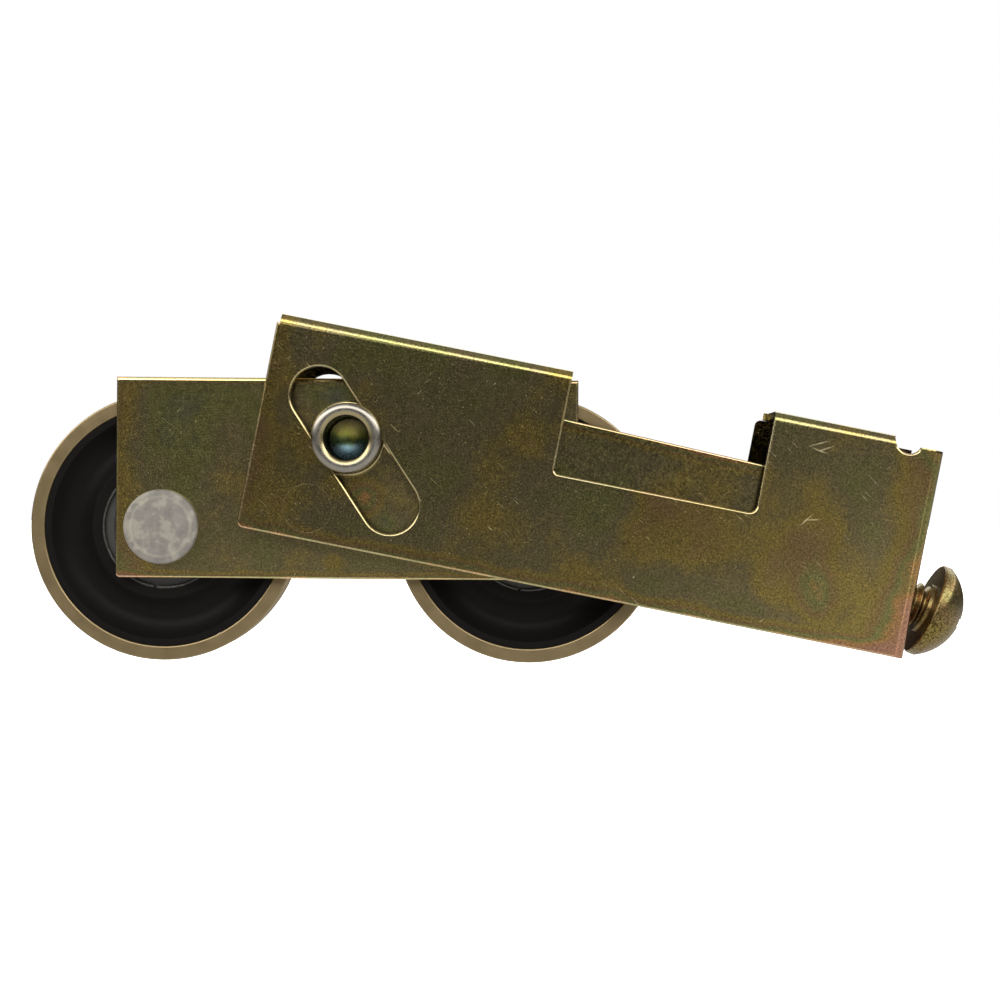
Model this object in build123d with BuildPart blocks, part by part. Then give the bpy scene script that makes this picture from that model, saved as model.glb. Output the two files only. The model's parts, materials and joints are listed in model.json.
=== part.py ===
from build123d import *
import os
from math import cos, radians, sin, sqrt

os.makedirs("parts", exist_ok=True)

# Tandem roller for a sliding patio door: two ball-bearing wheels in a folded carriage, which rocks
# on a pivot rivet inside a folded housing. The rivet runs in a pair of slanted slots. A yoke and a
# screw through the housing's end wall pull it along them, and that raises or lowers the door.
# All sizes are millimetres. The origin is on the track, midway between the two wheels; +X points
# to the adjusting screw, +Y away from the side with the rolled rivet end, and +Z up.

# Fits
running_gap = 0.1
seat_gap = 0.02

# Wheels
wheel_diameter = 38.1
wheel_width = 6.35
tyre_depth = 2.0
tread_hollow = 0.6
tyre_bevel = 0.15
land_width = 1.0
rim_depth = 0.9
web_thickness = 2.2
hub_inset = 0.15
boss_wall = 0.9
back_lip = 0.9
axle_spacing = 51.9

# Ball bearing, one in each wheel
bearing_bore = 6.0
bearing_width = 4.6
inner_ring_wall = 1.6
outer_ring_wall = 1.6
ball_diameter = 3.175
ball_count = 8
groove_depth = 0.2625
groove_gap = 0.03
cage_wall = 0.8
cage_width = 3.7
pocket_gap = 0.08
shield_thickness = 0.25
shield_recess = 0.1
shield_gap = 0.2
snap_ring_width = 0.75
snap_ring_thickness = 0.6
snap_ring_bite = 0.45
snap_ring_split = 0.35
snap_ring_turn = -8.6

# Axle rivets
axle_head_diameter = 10.5
axle_head_height = 1.6
axle_tail_diameter = 9.0
axle_tail_height = 1.3
axle_spacer_diameter = 8.4
head_round = 0.45

# Carriage, a channel folded from one sheet, open at the bottom. Its web passes over the wheels,
# and its walls reach below the axles.
carriage_sheet = 1.2
left_past_axle = 6.55
right_past_axle = 6.8
wheel_top_gap = 0.7
carriage_inner_width = 8.2
carriage_bend = 0.5
carriage_corner = 0.6
wall_below_axle = 7.25

# Pivot rivet, with a spacer tube just under the carriage's web
pivot_shift = 0.3
pivot_shank_diameter = 7.8
pivot_bore_diameter = 6.1
pivot_bore_depth = 6.5
pivot_bore_point = 1.2
rolled_end_diameter = 9.8
rolled_end_height = 1.3
pivot_head_diameter = 11.5
pivot_head_height = 1.5
pivot_spacer_wall = 1.3
pivot_spacer_gap = 1.95
washer_wall = 0.75

# Housing, folded from one sheet: a top web, two side walls, a tab and an end wall.
# Along and up are measured from the pivot rivet's axis, in the housing's own tilt. At rest the
# web's end at the notch stands on the carriage's web, its stop, but for the gap given here.
housing_tilt = 10.8
housing_sheet = 1.0
housing_bend = 0.4
side_space = 2.4
housing_left = 12.7
housing_right = 82.3
stop_gap = 0.3
housing_bottom = 15.1
web_left_inset = 0.45
corner_round = 0.8
notch_left = 29.25
notch_right = 58.1
notch_floor = 0.8
notch_left_round = 0.7
notch_right_round = 1.15
tab_right = 75.35
flap_reach = 10.6
flap_round = 1.4
back_wall_drop = 0.6
back_wall_lead = 0.5
relief_radius = 2.0
relief_depth = 1.2
end_wall_drop = 1.05
end_wall_slit = 0.2

# Slanted slots, one in each side wall
slot_lower_travel = 11.2
slot_upper_travel = 7.15
slot_angle = 46.0

# Adjusting screw
screw_tilt = 12.8
screw_height = -6.9
screw_diameter = 6.35
screw_length = 25.4
screw_head_diameter = 13.6
screw_head_height = 5.25
screw_head_rim = 1.2
screw_head_edge = 0.2
screw_head_gap = 3.45
screw_neck_diameter = 7.2
screw_neck_length = 0.5
screw_point = 1.0
screw_hole_diameter = 7.4
recess_span = 7.2
recess_wing = 1.3
recess_depth = 2.8

# Yoke that joins the pivot rivet to the screw: two flat arms and a cross plate
yoke_sheet = 1.2
yoke_bend = 0.5
yoke_tilt = 1.73
yoke_eye_diameter = 10.6
yoke_top = 9.53
yoke_arm_bottom = 0.8
yoke_neck_start = 14.5
yoke_flare_start = 34.0
yoke_flare_end = 57.0
yoke_plate_bottom = 8.5
yoke_plate_setback = 14.2
yoke_collar_diameter = 9.4
yoke_collar_height = 1.6
yoke_hole_gap = 0.25

# Heights over the track
wheel_radius = wheel_diameter / 2
axle_height = wheel_radius
carriage_web_under = wheel_diameter + wheel_top_gap
carriage_web_top = carriage_web_under + carriage_sheet
carriage_bottom = axle_height - wall_below_axle
carriage_left = axle_spacing / 2 + left_past_axle
carriage_right = axle_spacing / 2 + right_past_axle
spacer_bore = pivot_shank_diameter / 2 + seat_gap
spacer_radius = spacer_bore + pivot_spacer_wall
pivot_height = carriage_web_under - pivot_spacer_gap - spacer_radius
pivot = Vector(pivot_shift, 0, pivot_height)

# Top of the housing's web over the pivot, from its stop on the carriage's web
stop_height = carriage_web_top + stop_gap - pivot_height
lean = radians(housing_tilt)
housing_top = (stop_height + notch_left * sin(lean)) / cos(lean) + housing_sheet

# Half widths, counted out from the middle of the roller
carriage_inner = carriage_inner_width / 2
carriage_outer = carriage_inner + carriage_sheet
housing_inner = carriage_outer + side_space
housing_outer = housing_inner + housing_sheet
yoke_inner = carriage_outer + running_gap
yoke_outer = yoke_inner + yoke_sheet


def side_plane(along, up, tilt):
    """Side view at a place of the housing, with its x axis turned down by tilt degrees."""
    turned = radians(tilt)
    place = Vector(
        pivot.X + along * cos(lean) + up * sin(lean),
        0,
        pivot.Z - along * sin(lean) + up * cos(lean),
    )
    return Plane(origin=place, x_dir=(cos(turned), 0, -sin(turned)), z_dir=(0, -1, 0))


def lathe_plane(across, height):
    """Half section of a turned piece whose axis runs across the roller; its x axis is the axis."""
    return Plane(origin=(across, 0, height), x_dir=(0, -1, 0), z_dir=(-1, 0, 0))


def turning_axis(plane):
    """Axis of a piece that is turned from a half section on this plane."""
    return Axis(plane.origin, plane.x_dir)


def edge_at(part, direction, point):
    """Edge of a part that runs along a direction, nearest to a point."""
    parallel = part.edges().filter_by(Axis((0, 0, 0), direction))
    return parallel.sort_by_distance(point)[0]


housing_side = side_plane(0, 0, housing_tilt)
pivot_side = side_plane(0, 0, 0)
carriage_side = Plane(origin=(0, 0, pivot_height), x_dir=(1, 0, 0), z_dir=(0, -1, 0))
screw_side = side_plane(housing_right, screw_height, housing_tilt + screw_tilt)
yoke_side = side_plane(0, 0, housing_tilt + yoke_tilt)

# Folded housing
housing_width = 2 * housing_outer
outer_bend = housing_bend + housing_sheet
end_wall_top = housing_top - end_wall_drop
relief_half = sqrt(relief_depth * (2 * relief_radius - relief_depth))
slot_radius = pivot_shank_diameter / 2 + running_gap
slot_down = Vector(cos(radians(slot_angle)), -sin(radians(slot_angle)))
slot_length = slot_lower_travel + slot_upper_travel
slot_middle = slot_down * ((slot_lower_travel - slot_upper_travel) / 2)
beyond = 2 * (housing_left + housing_right)


def block_outline(left, right, bottom, top):
    """Rectangle between two places along a view and two heights on it."""
    with Locations(((left + right) / 2, (bottom + top) / 2)):
        Rectangle(right - left, top - bottom)


with BuildPart() as housing:
    with BuildSketch(housing_side.offset(-housing_outer)) as envelope:
        block_outline(-housing_left, housing_right, -housing_bottom, housing_top)
        fillet(envelope.vertices().group_by(Axis.X)[0].sort_by(Axis.Y)[0], radius=corner_round)
    extrude(amount=housing_width)
    # Space between the walls, open at the bottom and at the left end
    with BuildSketch(housing_side.offset(-housing_inner)):
        block_outline(-beyond, housing_right - housing_sheet, -beyond, housing_top - housing_sheet)
    extrude(amount=2 * housing_inner, mode=Mode.SUBTRACT)
    # Bends, outside and inside: two along the web and one down to the end wall
    for wall in (-1, 1):
        outside = housing_side.from_local_coords((0, housing_top, wall * housing_outer))
        fillet(edge_at(housing.part, housing_side.x_dir, outside), radius=outer_bend)
        inside = housing_side.from_local_coords((0, housing_top - housing_sheet, wall * housing_inner))
        fillet(edge_at(housing.part, housing_side.x_dir, inside), radius=housing_bend)
    corner = housing_side.from_local_coords((housing_right, 0, housing_outer))
    fillet(edge_at(housing.part, housing_side.y_dir, corner), radius=outer_bend)
    inner_corner = housing_side.from_local_coords((housing_right - housing_sheet, 0, housing_inner))
    fillet(edge_at(housing.part, housing_side.y_dir, inner_corner), radius=housing_bend)
    # Notch through the web and both walls; the back wall starts a little sooner after it
    for right, depth in ((notch_right, housing_outer), (notch_right - back_wall_lead, -housing_outer)):
        with BuildSketch(housing_side) as notch:
            block_outline(notch_left, right, notch_floor, beyond)
            fillet(notch.vertices().group_by(Axis.Y)[0].sort_by(Axis.X)[0], radius=notch_left_round)
            fillet(notch.vertices().group_by(Axis.Y)[0].sort_by(Axis.X)[-1], radius=notch_right_round)
        extrude(amount=depth, mode=Mode.SUBTRACT)
    # Past the notch the web is a tab, folded from the front wall and short of the back wall
    with BuildSketch(housing_side.offset(-housing_outer)):
        block_outline(notch_left, housing_right, housing_top - outer_bend, beyond)
    extrude(amount=housing_width - flap_reach, mode=Mode.SUBTRACT)
    with BuildSketch(housing_side.offset(-housing_inner)):
        block_outline(tab_right, housing_right, end_wall_top, beyond)
    extrude(amount=housing_width, mode=Mode.SUBTRACT)
    for tab_end in (notch_right, tab_right):
        free_corner = housing_side.from_local_coords((tab_end, housing_top, housing_outer - flap_reach))
        fillet(edge_at(housing.part, housing_side.y_dir, free_corner), radius=flap_round)
    # The back wall there is plain, with a rounded corner and a slightly lower top
    back_end = housing_right - housing_sheet - end_wall_slit
    with BuildSketch(housing_side.offset(-housing_outer)) as back_rail:
        block_outline(
            notch_right - back_wall_lead,
            back_end,
            housing_top - 2 * outer_bend,
            housing_top - back_wall_drop,
        )
        fillet(back_rail.vertices().group_by(Axis.Y)[-1].sort_by(Axis.X)[0], radius=corner_round)
    extrude(amount=housing_sheet)
    # Relief at the end of the tab's bend, a shallow arc
    with BuildSketch(housing_side.offset(housing_inner - housing_bend)):
        with Locations((tab_right + relief_half, end_wall_top + relief_radius - relief_depth)):
            Circle(relief_radius)
    extrude(amount=housing_sheet + housing_bend, mode=Mode.SUBTRACT)
    # The end wall is folded from the front wall only, so a slit parts it from the back wall
    with BuildSketch(housing_side.offset(-housing_outer)):
        block_outline(back_end, housing_right - housing_sheet, -beyond, beyond)
    extrude(amount=housing_sheet, mode=Mode.SUBTRACT)
    # The web's left end stands back a little from the walls
    with BuildSketch(housing_side.offset(-housing_outer)):
        block_outline(-beyond, web_left_inset - housing_left, housing_top - outer_bend, beyond)
    extrude(amount=housing_width, mode=Mode.SUBTRACT)
    # Slanted slots for the pivot rivet
    with BuildSketch(housing_side.offset(-housing_outer)):
        with Locations(Location((slot_middle.X, slot_middle.Y, 0), (0, 0, -slot_angle))):
            SlotCenterToCenter(slot_length, 2 * slot_radius)
    extrude(amount=housing_width, mode=Mode.SUBTRACT)
    # Clearance hole for the adjusting screw
    with BuildSketch(Plane(screw_side.origin, x_dir=(0, 1, 0), z_dir=housing_side.x_dir)):
        Circle(screw_hole_diameter / 2)
    extrude(amount=-2 * housing_sheet, mode=Mode.SUBTRACT)

housing.part.label = "housing"
export_step(housing.part, "parts/housing.step")

# Carriage: top web and two side walls, with holes for the axles and the pivot rivet
carriage_top = carriage_web_top - pivot_height
carriage_floor = carriage_bottom - pivot_height
axle_drop = axle_height - pivot_height
with BuildPart() as carriage_frame:
    with BuildSketch(carriage_side.offset(-carriage_outer)) as carriage_outline:
        block_outline(-carriage_left, carriage_right, carriage_floor, carriage_top)
        fillet(carriage_outline.vertices(), radius=carriage_corner)
    extrude(amount=2 * carriage_outer)
    with BuildSketch(carriage_side.offset(-carriage_inner)):
        block_outline(-beyond, beyond, -beyond, carriage_top - carriage_sheet)
    extrude(amount=2 * carriage_inner, mode=Mode.SUBTRACT)
    for wall in (-1, 1):
        inside = carriage_side.from_local_coords((0, carriage_top - carriage_sheet, wall * carriage_inner))
        fillet(edge_at(carriage_frame.part, carriage_side.x_dir, inside), radius=carriage_bend)
    # Rounded outside of the two bends
    with BuildSketch(Plane.YZ.offset(-beyond)) as bend_outline:
        with Locations((0, pivot_height + (carriage_top + carriage_floor) / 2)):
            Rectangle(2 * carriage_outer, carriage_top - carriage_floor)
        fillet(bend_outline.vertices().group_by(Axis.Y)[-1], radius=carriage_bend + carriage_sheet)
    extrude(amount=2 * beyond, mode=Mode.INTERSECT)
    with BuildSketch(carriage_side.offset(-carriage_outer)):
        with Locations((pivot_shift, 0)):
            Circle(pivot_shank_diameter / 2 + running_gap / 2)
        with Locations((-axle_spacing / 2, axle_drop), (axle_spacing / 2, axle_drop)):
            Circle(bearing_bore / 2 + running_gap / 2)
    extrude(amount=2 * carriage_outer, mode=Mode.SUBTRACT)

carriage_frame.part.label = "carriage_frame"
export_step(carriage_frame.part, "parts/carriage_frame.step")

# Pivot rivet: factory head behind, and a rolled end with a blind drilled bore in front
pivot_section = lathe_plane(pivot.X, pivot.Z)
pivot_face = housing_outer + running_gap
shank_radius = pivot_shank_diameter / 2
roll_radius = rolled_end_diameter / 2
bore_radius = pivot_bore_diameter / 2
with BuildPart() as pivot_rivet:
    with BuildSketch(pivot_section):
        with BuildLine():
            Polyline(
                (-pivot_face - pivot_head_height, 0),
                (pivot_face - pivot_bore_depth - pivot_bore_point, 0),
                (pivot_face - pivot_bore_depth, bore_radius),
                (pivot_face + rolled_end_height / 2, bore_radius),
            )
            ThreePointArc(
                (pivot_face + rolled_end_height / 2, bore_radius),
                (pivot_face + rolled_end_height, (bore_radius + roll_radius) / 2),
                (pivot_face + rolled_end_height / 2, roll_radius),
            )
            Polyline(
                (pivot_face + rolled_end_height / 2, roll_radius),
                (pivot_face, roll_radius),
                (pivot_face, shank_radius),
                (-pivot_face, shank_radius),
                (-pivot_face, pivot_head_diameter / 2),
                (-pivot_face - pivot_head_height + head_round, pivot_head_diameter / 2),
                (-pivot_face - pivot_head_height, pivot_head_diameter / 2 - head_round),
                (-pivot_face - pivot_head_height, 0),
            )
        make_face()
    revolve(axis=turning_axis(pivot_section))

pivot_rivet.part.label = "pivot_rivet"
export_step(pivot_rivet.part, "parts/pivot_rivet.step")

# Spacer tube on the pivot rivet, between the carriage's walls
with BuildPart() as pivot_spacer:
    with BuildSketch(pivot_side.offset(seat_gap - carriage_inner)):
        Circle(spacer_radius)
        Circle(spacer_bore, mode=Mode.SUBTRACT)
    extrude(amount=2 * (carriage_inner - seat_gap))

pivot_spacer.part.label = "pivot_spacer"
export_step(pivot_spacer.part, "parts/pivot_spacer.step")

# Thick washers on the pivot rivet, between the yoke's eyes and the housing's walls
for side, offset_sign in (("front", 1), ("back", -1)):
    with BuildPart() as pivot_washer:
        with BuildSketch(pivot_side.offset(offset_sign * (yoke_outer + running_gap))):
            Circle(spacer_bore + washer_wall)
            Circle(spacer_bore, mode=Mode.SUBTRACT)
        extrude(amount=offset_sign * (housing_inner - yoke_outer - 2 * running_gap))
    pivot_washer.part.label = f"{side}_pivot_washer"
    export_step(pivot_washer.part, f"parts/{side}_pivot_washer.step")

# Wheels, bearings and axles, the same at both ends of the carriage
bearing_half = bearing_width / 2
inner_race = bearing_bore / 2 + inner_ring_wall
pitch_radius = inner_race - groove_depth + ball_diameter / 2
outer_race = pitch_radius + ball_diameter / 2 - groove_depth
bearing_radius = outer_race + outer_ring_wall
groove_radius = ball_diameter / 2 + groove_gap
shield_outside = bearing_half - shield_recess
shield_inside = shield_outside - shield_thickness
wheel_half = wheel_width / 2
tyre_bore = wheel_radius - tyre_depth
hub_half = wheel_half - hub_inset
rim_bore = tyre_bore - rim_depth
snap_groove = bearing_radius + snap_ring_bite + seat_gap
boss_radius = snap_groove + boss_wall
axle_radius = bearing_bore / 2 - seat_gap
spacer_length = carriage_inner - bearing_half - 2 * seat_gap

for side, across in (("left", -axle_spacing / 2), ("right", axle_spacing / 2)):
    section = lathe_plane(across, axle_height)
    axis = turning_axis(section)
    face = Plane(origin=(across, 0, axle_height), x_dir=(1, 0, 0), z_dir=(0, -1, 0))

    with BuildPart() as tyre:
        with BuildSketch(section):
            with BuildLine():
                Polyline(
                    (land_width - wheel_half, wheel_radius),
                    (tyre_bevel - wheel_half, wheel_radius),
                    (-wheel_half, wheel_radius - tyre_bevel),
                    (-wheel_half, tyre_bore),
                    (wheel_half, tyre_bore),
                    (wheel_half, wheel_radius - tyre_bevel),
                    (wheel_half - tyre_bevel, wheel_radius),
                    (wheel_half - land_width, wheel_radius),
                )
                ThreePointArc(
                    (wheel_half - land_width, wheel_radius),
                    (0, wheel_radius - tread_hollow),
                    (land_width - wheel_half, wheel_radius),
                )
            make_face()
        revolve(axis=axis)
    tyre.part.label = f"{side}_tyre"
    export_step(tyre.part, f"parts/{side}_tyre.step")

    # Dished hub: rim, thin web and boss, with a seat for the bearing and a groove for its ring
    dish_middle = (rim_bore + boss_radius) / 2
    with BuildPart() as hub:
        with BuildSketch(section):
            with BuildLine():
                Line((hub_half, bearing_radius + seat_gap), (hub_half, boss_radius))
                ThreePointArc(
                    (hub_half, boss_radius), (web_thickness / 2, dish_middle), (hub_half, rim_bore)
                )
                Polyline(
                    (hub_half, rim_bore),
                    (hub_half, tyre_bore - seat_gap),
                    (-hub_half, tyre_bore - seat_gap),
                    (-hub_half, rim_bore),
                )
                ThreePointArc(
                    (-hub_half, rim_bore), (-web_thickness / 2, dish_middle), (-hub_half, boss_radius)
                )
                Polyline(
                    (-hub_half, boss_radius),
                    (-hub_half, bearing_radius - back_lip),
                    (-bearing_half - seat_gap, bearing_radius - back_lip),
                    (-bearing_half - seat_gap, bearing_radius + seat_gap),
                    (bearing_half + seat_gap, bearing_radius + seat_gap),
                    (bearing_half + seat_gap, snap_groove),
                    (bearing_half + snap_ring_thickness + 2 * seat_gap, snap_groove),
                    (bearing_half + snap_ring_thickness + 2 * seat_gap, bearing_radius + seat_gap),
                    (hub_half, bearing_radius + seat_gap),
                )
            make_face()
        revolve(axis=axis)
    hub.part.label = f"{side}_hub"
    export_step(hub.part, f"parts/{side}_hub.step")

    # Split snap ring that keeps the bearing in the hub
    snap_outside = snap_groove - seat_gap
    with BuildPart() as snap_ring:
        with BuildSketch(face.offset(bearing_half + 1.5 * seat_gap)):
            Circle(snap_outside)
            Circle(snap_outside - snap_ring_width, mode=Mode.SUBTRACT)
            with Locations(Location((0, 0, 0), (0, 0, snap_ring_turn))):
                with Locations((0, -snap_outside)):
                    Rectangle(snap_ring_split, 4 * snap_ring_width, mode=Mode.SUBTRACT)
        extrude(amount=snap_ring_thickness)
    snap_ring.part.label = f"{side}_snap_ring"
    export_step(snap_ring.part, f"parts/{side}_snap_ring.step")

    with BuildPart() as outer_ring:
        with BuildSketch(section):
            block_outline(-bearing_half, bearing_half, outer_race, bearing_radius)
            with Locations((0, pitch_radius)):
                Circle(groove_radius, mode=Mode.SUBTRACT)
        revolve(axis=axis)
    outer_ring.part.label = f"{side}_bearing_outer_ring"
    export_step(outer_ring.part, f"parts/{side}_bearing_outer_ring.step")

    with BuildPart() as inner_ring:
        with BuildSketch(section):
            block_outline(-bearing_half, bearing_half, bearing_bore / 2, inner_race)
            with Locations((0, pitch_radius)):
                Circle(groove_radius, mode=Mode.SUBTRACT)
        revolve(axis=axis)
    inner_ring.part.label = f"{side}_bearing_inner_ring"
    export_step(inner_ring.part, f"parts/{side}_bearing_inner_ring.step")

    for shield_side, sign in (("front", 1), ("back", -1)):
        with BuildPart() as shield:
            with BuildSketch(face.offset(sign * shield_inside)):
                Circle(outer_race - seat_gap)
                Circle(inner_race + shield_gap, mode=Mode.SUBTRACT)
            extrude(amount=sign * shield_thickness)
        shield.part.label = f"{side}_{shield_side}_shield"
        export_step(shield.part, f"parts/{side}_{shield_side}_shield.step")

    with BuildPart(face) as balls:
        with PolarLocations(pitch_radius, ball_count):
            Sphere(ball_diameter / 2)
    balls.part.label = f"{side}_bearing_balls"
    export_step(balls.part, f"parts/{side}_bearing_balls.step")

    with BuildPart(face) as ball_cage:
        with BuildSketch(face.offset(-cage_width / 2)):
            Circle(pitch_radius + cage_wall / 2)
            Circle(pitch_radius - cage_wall / 2, mode=Mode.SUBTRACT)
        extrude(amount=cage_width)
        with PolarLocations(pitch_radius, ball_count):
            Cylinder(
                ball_diameter / 2 + pocket_gap,
                2 * cage_wall,
                rotation=(0, 90, 0),
                mode=Mode.SUBTRACT,
            )
    ball_cage.part.label = f"{side}_ball_cage"
    export_step(ball_cage.part, f"parts/{side}_ball_cage.step")

    # Solid rivet as axle, with its factory head in front and its closed end behind
    head_radius = axle_head_diameter / 2
    tail_radius = axle_tail_diameter / 2
    with BuildPart() as axle_rivet:
        with BuildSketch(section):
            with BuildLine():
                Polyline(
                    (-carriage_outer - axle_tail_height, 0),
                    (carriage_outer + axle_head_height, 0),
                    (carriage_outer + axle_head_height, head_radius - head_round),
                )
                RadiusArc(
                    (carriage_outer + axle_head_height, head_radius - head_round),
                    (carriage_outer + axle_head_height - head_round, head_radius),
                    -head_round,
                )
                Polyline(
                    (carriage_outer + axle_head_height - head_round, head_radius),
                    (carriage_outer, head_radius),
                    (carriage_outer, axle_radius),
                    (-carriage_outer, axle_radius),
                    (-carriage_outer, tail_radius),
                    (-carriage_outer - axle_tail_height + head_round, tail_radius),
                    (-carriage_outer - axle_tail_height, tail_radius - head_round),
                    (-carriage_outer - axle_tail_height, 0),
                )
            make_face()
        revolve(axis=axis)
    axle_rivet.part.label = f"{side}_axle_rivet"
    export_step(axle_rivet.part, f"parts/{side}_axle_rivet.step")

    for spacer_side, sign in (("front", 1), ("back", -1)):
        with BuildPart() as axle_spacer:
            with BuildSketch(face.offset(sign * (bearing_half + seat_gap))):
                Circle(axle_spacer_diameter / 2)
                Circle(bearing_bore / 2, mode=Mode.SUBTRACT)
            extrude(amount=sign * spacer_length)
        axle_spacer.part.label = f"{side}_{spacer_side}_axle_spacer"
        export_step(axle_spacer.part, f"parts/{side}_{spacer_side}_axle_spacer.step")

# Adjusting screw: domed head with a cross recess; its thread is left plain here
screw_radius = screw_diameter / 2
screw_head_radius = screw_head_diameter / 2
dome_height = screw_head_height - screw_head_rim
dome_radius = (screw_head_radius**2 + dome_height**2) / (2 * dome_height)
with BuildPart() as adjusting_screw:
    with BuildSketch(screw_side):
        with BuildLine():
            Polyline(
                (screw_head_gap - screw_length, 0),
                (screw_head_gap + screw_head_height, 0),
            )
            RadiusArc(
                (screw_head_gap + screw_head_height, 0),
                (screw_head_gap + screw_head_rim, screw_head_radius),
                -dome_radius,
            )
            Polyline(
                (screw_head_gap + screw_head_rim, screw_head_radius),
                (screw_head_gap + screw_head_edge, screw_head_radius),
                (screw_head_gap, screw_head_radius - screw_head_edge),
                (screw_head_gap, screw_neck_diameter / 2),
                (screw_head_gap - screw_neck_length, screw_neck_diameter / 2),
                (screw_head_gap - screw_neck_length, screw_radius),
                (screw_head_gap - screw_length + screw_point, screw_radius),
                (screw_head_gap - screw_length, screw_radius - screw_point),
                (screw_head_gap - screw_length, 0),
            )
        make_face()
    revolve(axis=turning_axis(screw_side))
    # Cross recess, tapering to its floor
    recess_mouth = Plane(
        screw_side.from_local_coords((screw_head_gap + screw_head_height, 0, 0)),
        x_dir=(0, 1, 0),
        z_dir=screw_side.x_dir,
    )
    with BuildSketch(recess_mouth):
        Rectangle(recess_span, recess_wing)
        Rectangle(recess_wing, recess_span)
    with BuildSketch(recess_mouth.offset(-recess_depth)):
        Rectangle(recess_span / 2, recess_wing)
        Rectangle(recess_wing, recess_span / 2)
    loft(mode=Mode.SUBTRACT)

adjusting_screw.part.label = "adjusting_screw"
export_step(adjusting_screw.part, "parts/adjusting_screw.step")

# Adjusting yoke: two arms from the pivot rivet to a cross plate that the screw runs through
plate_across = Plane(screw_side.origin, x_dir=screw_side.x_dir, z_dir=screw_side.y_dir)
plate_outside = yoke_sheet / 2 - yoke_plate_setback
yoke_hole_radius = screw_radius + yoke_hole_gap
eye_radius = yoke_eye_diameter / 2
plate_point = screw_side.from_local_coords((plate_outside, 0, 0))
yoke_end = yoke_side.to_local_coords(plate_point).X
with BuildPart() as adjusting_yoke:
    with BuildSketch(plate_across.offset(-beyond)) as yoke_fold:
        with Locations((plate_outside - beyond / 2, 0)):
            Rectangle(beyond, 2 * yoke_outer)
        fillet(yoke_fold.vertices().group_by(Axis.X)[-1], radius=yoke_bend + yoke_sheet)
        with BuildSketch(plate_across.offset(-beyond), mode=Mode.PRIVATE) as yoke_inside:
            with Locations((plate_outside - yoke_sheet - beyond / 2, 0)):
                Rectangle(beyond, 2 * yoke_inner)
            fillet(yoke_inside.vertices().group_by(Axis.X)[-1], radius=yoke_bend)
        add(yoke_inside.sketch_local, mode=Mode.SUBTRACT)
    extrude(amount=2 * beyond)
    # Side outline of the arms, kept clear of the slots and of the right axle's head
    with BuildSketch(yoke_side.offset(-yoke_outer)):
        Circle(eye_radius)
        with BuildLine():
            Polyline(
                (0, eye_radius),
                (yoke_neck_start, yoke_top),
                (yoke_end + yoke_sheet, yoke_top),
                (yoke_end + yoke_sheet, -yoke_plate_bottom),
                (yoke_flare_end, -yoke_plate_bottom),
                (yoke_flare_start, -yoke_arm_bottom),
                (eye_radius + yoke_arm_bottom, -yoke_arm_bottom),
                (eye_radius - yoke_arm_bottom, yoke_arm_bottom),
                close=True,
            )
        make_face()
    extrude(amount=2 * yoke_outer, mode=Mode.INTERSECT)
    # Collar drawn around the screw's hole, and the two eyes
    with BuildSketch(Plane(plate_point, x_dir=(0, 1, 0), z_dir=-screw_side.x_dir)):
        Circle(yoke_collar_diameter / 2)
    extrude(amount=yoke_sheet + yoke_collar_height)
    with BuildSketch(Plane(plate_point, x_dir=(0, 1, 0), z_dir=-screw_side.x_dir)):
        Circle(yoke_hole_radius)
    extrude(amount=yoke_sheet + yoke_collar_height, mode=Mode.SUBTRACT)
    with BuildSketch(yoke_side.offset(-yoke_outer)):
        Circle(shank_radius + running_gap / 2)
    extrude(amount=2 * yoke_outer, mode=Mode.SUBTRACT)

adjusting_yoke.part.label = "adjusting_yoke"
export_step(adjusting_yoke.part, "parts/adjusting_yoke.step")
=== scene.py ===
import json
from math import cos, pi, radians, sin

import bmesh
import bpy
from bpy.props import FloatProperty, FloatVectorProperty, IntProperty, PointerProperty
from mathutils import Matrix, Vector


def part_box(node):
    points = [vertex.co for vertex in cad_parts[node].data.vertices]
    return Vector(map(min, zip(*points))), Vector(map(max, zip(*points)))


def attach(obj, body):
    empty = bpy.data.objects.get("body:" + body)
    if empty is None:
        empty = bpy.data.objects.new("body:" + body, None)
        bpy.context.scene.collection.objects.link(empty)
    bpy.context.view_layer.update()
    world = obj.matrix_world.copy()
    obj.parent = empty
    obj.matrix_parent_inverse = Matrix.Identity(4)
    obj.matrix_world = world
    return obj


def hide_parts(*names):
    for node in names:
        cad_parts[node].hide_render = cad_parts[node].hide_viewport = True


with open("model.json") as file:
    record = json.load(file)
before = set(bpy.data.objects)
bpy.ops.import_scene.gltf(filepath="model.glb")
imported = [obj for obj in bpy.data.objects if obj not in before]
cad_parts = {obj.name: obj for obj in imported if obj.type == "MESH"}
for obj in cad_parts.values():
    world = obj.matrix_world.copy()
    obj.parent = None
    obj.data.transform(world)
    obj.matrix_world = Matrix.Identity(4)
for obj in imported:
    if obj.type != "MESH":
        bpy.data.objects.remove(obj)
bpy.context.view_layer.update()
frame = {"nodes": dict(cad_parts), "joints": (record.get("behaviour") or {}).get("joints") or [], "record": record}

bl_info = {
    "name": "Sliding door roller",
    "version": (1, 0, 0),
    "blender": (4, 5, 0),
    "location": "View3D > Sidebar > Door roller",
    "description": "Dresses the tandem roller of a sliding patio door around its solids",
    "category": "Object",
}

MM = 0.001
WELD = 0.001 * MM
SIDES = ("left", "right")
FACES = (("front", 1), ("back", -1))

joints = {joint["name"]: joint for joint in frame["joints"]}
mounts = {mount["name"]: mount for mount in frame["record"]["mounts"]}

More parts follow.
